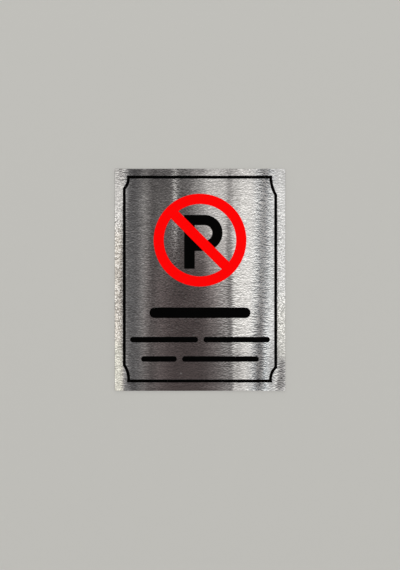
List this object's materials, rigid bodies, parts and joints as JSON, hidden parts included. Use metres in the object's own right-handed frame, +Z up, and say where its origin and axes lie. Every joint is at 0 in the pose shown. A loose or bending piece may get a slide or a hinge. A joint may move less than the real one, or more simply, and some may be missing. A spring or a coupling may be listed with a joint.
{
  "type": "parking sign",
  "caption": "Rectangular brushed steel wall plaque with an enamelled no-parking disc, a notched border line, plain bars for words and foam tape on its back.",
  "frame": {"origin": "middle of the centre strip of tape, on its face against the wall", "axes": "+X to the right as the reader sees the face, +Y into the wall, +Z up; the face looks along -Y"},
  "size_m": [0.2, 0.0025, 0.26],
  "materials": {
    "brushed_steel": "satin",
    "black_enamel": "satin",
    "red_enamel": "satin",
    "foam_tape": "matte"
  },
  "bodies": {
    "root": {"sign_plate": "brushed_steel", "border_line": "black_enamel", "ring_and_slash": "red_enamel", "letter_p": "black_enamel", "heading_bar": "black_enamel", "upper_line_bars": "black_enamel", "lower_line_bars": "black_enamel", "mounting_tape_left": "foam_tape", "mounting_tape_centre": "foam_tape", "mounting_tape_right": "foam_tape"}
  },
  "joints": []
}
